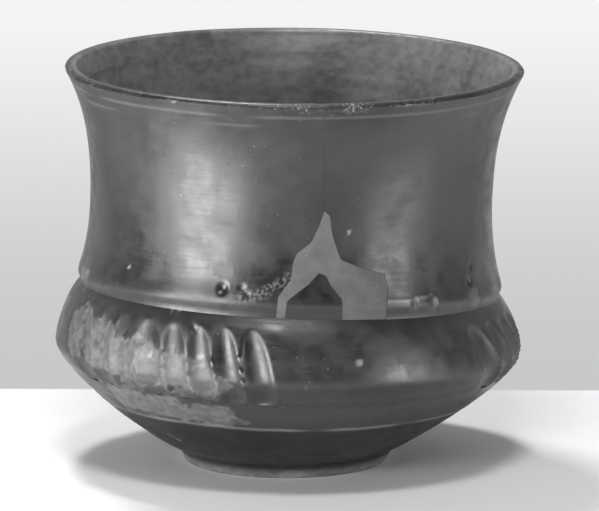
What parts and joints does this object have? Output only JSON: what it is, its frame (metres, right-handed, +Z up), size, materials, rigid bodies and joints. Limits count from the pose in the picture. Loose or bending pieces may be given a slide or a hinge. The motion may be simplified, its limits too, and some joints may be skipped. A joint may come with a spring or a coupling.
{
  "type": "pot",
  "caption": "Burnished black ring-footed pot with a fluted shoulder, tall concave neck and flaring rim, mended from sherds with a pale fill in the neck.",
  "frame": {"origin": "middle of the foot's resting face", "axes": "+Z up along the pot's axis; -Y towards the side with the pale fill, which the picture shows; +X to the right seen from there"},
  "size_m": [0.1546, 0.1536, 0.1325],
  "materials": {
    "burnished_clay": "burnished black fired clay, softly glossy",
    "worn_clay": "burnished black fired clay, worn and partly flaked",
    "foot_clay": "dark fired clay, low sheen",
    "plaster": "matt grey toned plaster"
  },
  "bodies": {
    "root": {"foot_ring": "foot_clay", "base_disc": "foot_clay", "lower_wall": "foot_clay", "belly_wall": "worn_clay", "shoulder_sherd_large": "worn_clay", "shoulder_sherd_small": "worn_clay", "neck_sherd_left": "burnished_clay", "neck_sherd_right": "burnished_clay", "neck_fill": "plaster", "neck_base_sherd": "burnished_clay", "rim_strip_left": "burnished_clay", "rim_strip_right": "burnished_clay"}
  },
  "joints": []
}
